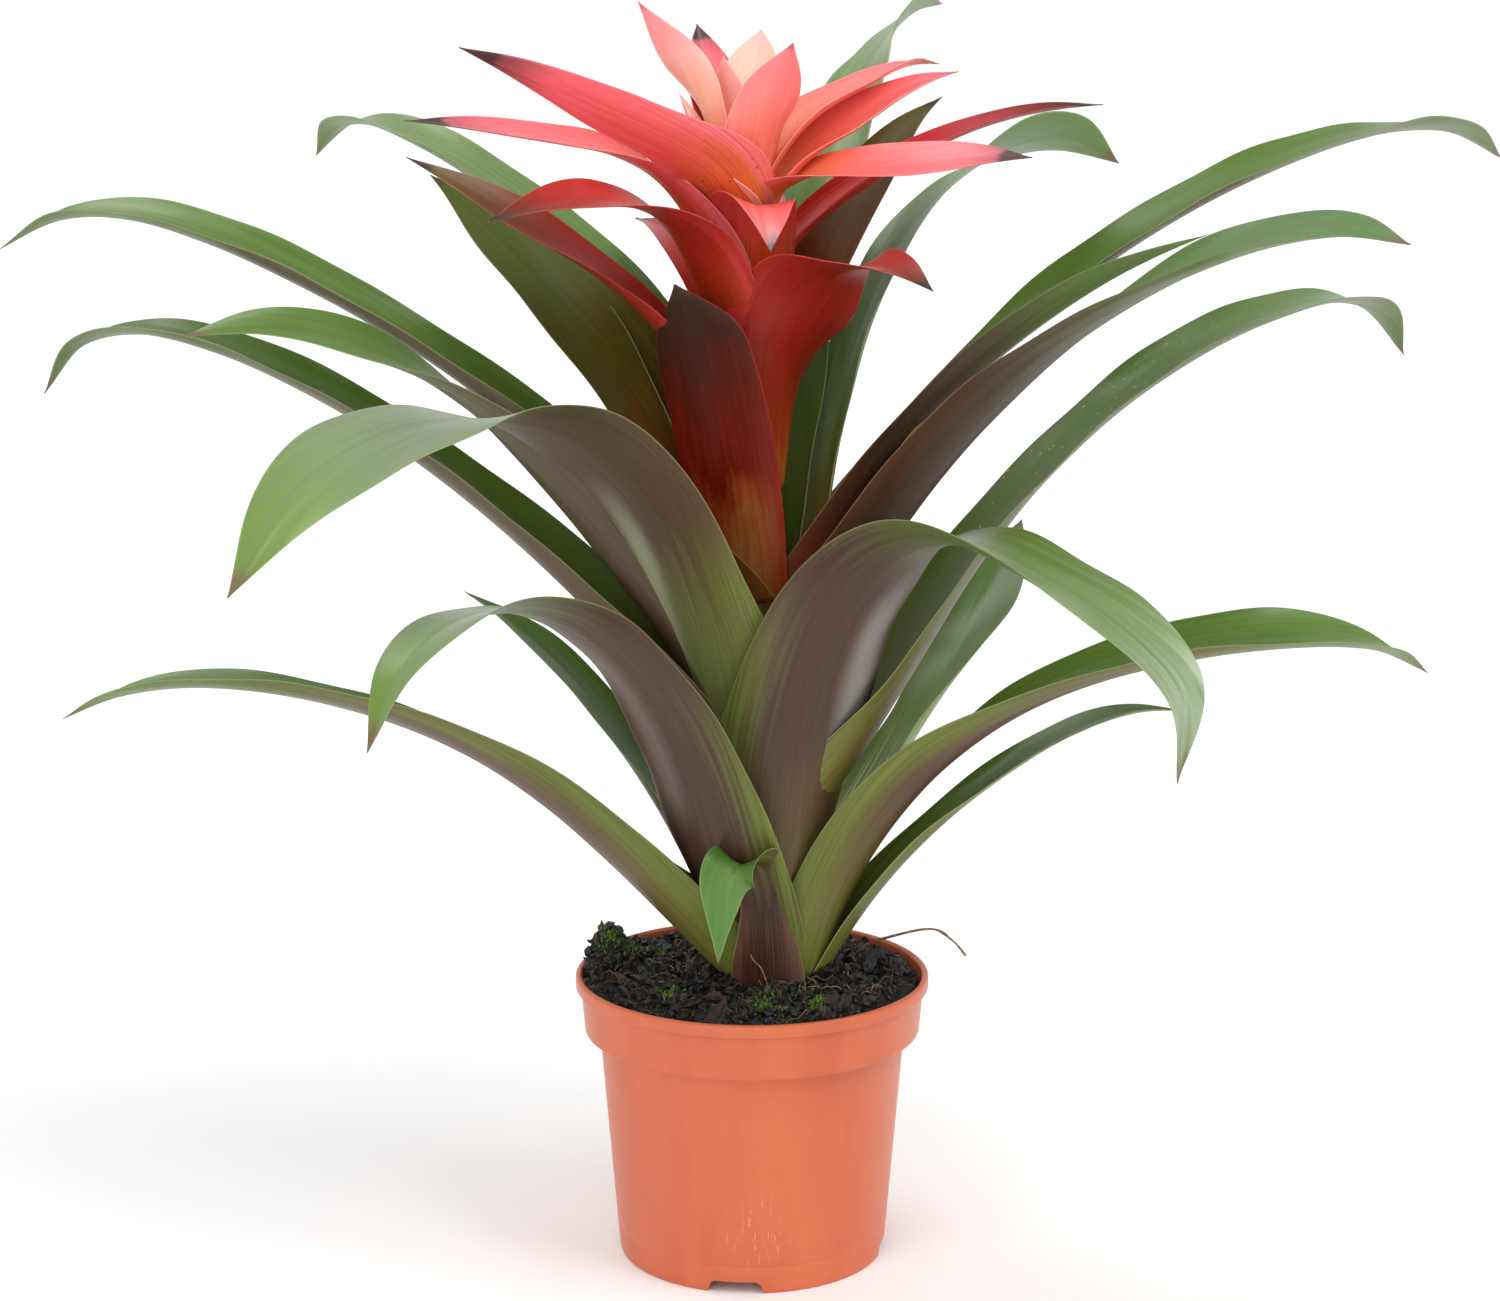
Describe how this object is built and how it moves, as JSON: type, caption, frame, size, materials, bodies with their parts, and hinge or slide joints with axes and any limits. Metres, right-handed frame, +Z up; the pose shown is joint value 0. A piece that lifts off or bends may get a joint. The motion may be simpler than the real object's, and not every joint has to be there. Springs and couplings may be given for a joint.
{
  "type": "potted guzmania plant",
  "caption": "Bromeliad in a small plastic nursery pot: arching strap leaves clasp a short stem under a head of pointed red and pink bracts.",
  "frame": {"origin": "on the floor at the middle of the pot, under the small moulding gate boss of the pot's base", "axes": "+Z up, +X to the right of the front view along the longest spread of the leaves, -Y towards the front"},
  "size_m": [0.5451, 0.4304, 0.4252],
  "materials": {
    "pot": "injection-moulded terracotta-orange polypropylene, satin",
    "soil": null,
    "stem": null,
    "dry_root": "thin dry brown root",
    "leaf": null,
    "bract_red": null,
    "bract_pink": null,
    "bract_dark": null
  },
  "bodies": {
    "root": {"bract_back": "bract_red", "bract_back_left": "bract_red", "bract_centre": "bract_pink", "bract_centre_back": "bract_pink", "bract_centre_back_left": "bract_pink", "bract_centre_front": "bract_pink", "bract_centre_left": "bract_pink", "bract_centre_left_small": "bract_pink", "bract_centre_right": "bract_pink", "bract_front_centre": "bract_red", "bract_front_dark": "bract_dark", "bract_front_left": "bract_red", "bract_front_right": "bract_red", "bract_left": "bract_red", "bract_left_low": "bract_red", "bract_left_up": "bract_red", "bract_right": "bract_red", "bract_right_back_low": "bract_red", "bract_right_back_up": "bract_red", "bract_right_dark": "bract_dark", "bract_right_up": "bract_red", "dry_root": "dry_root", "leaf_back": "leaf", "leaf_back_left_low": "leaf", "leaf_back_left_top": "leaf", "leaf_back_low": "leaf", "leaf_back_mid": "leaf", "leaf_back_right": "leaf", "leaf_back_right_top": "leaf", "leaf_front_left": "leaf", "leaf_front_left_low": "leaf", "leaf_front_right": "leaf", "leaf_front_short": "leaf", "leaf_inner_left": "leaf", "leaf_left_low": "leaf", "leaf_left_mid": "leaf", "leaf_left_short": "leaf", "leaf_left_top": "leaf", "leaf_right_back_low": "leaf", "leaf_right_dark": "leaf", "leaf_right_low": "leaf", "leaf_right_low_narrow": "leaf", "leaf_right_mid": "leaf", "leaf_right_top": "leaf", "leaf_right_upper": "leaf", "pot": "pot", "soil": "soil", "stem": "stem"}
  },
  "joints": []
}
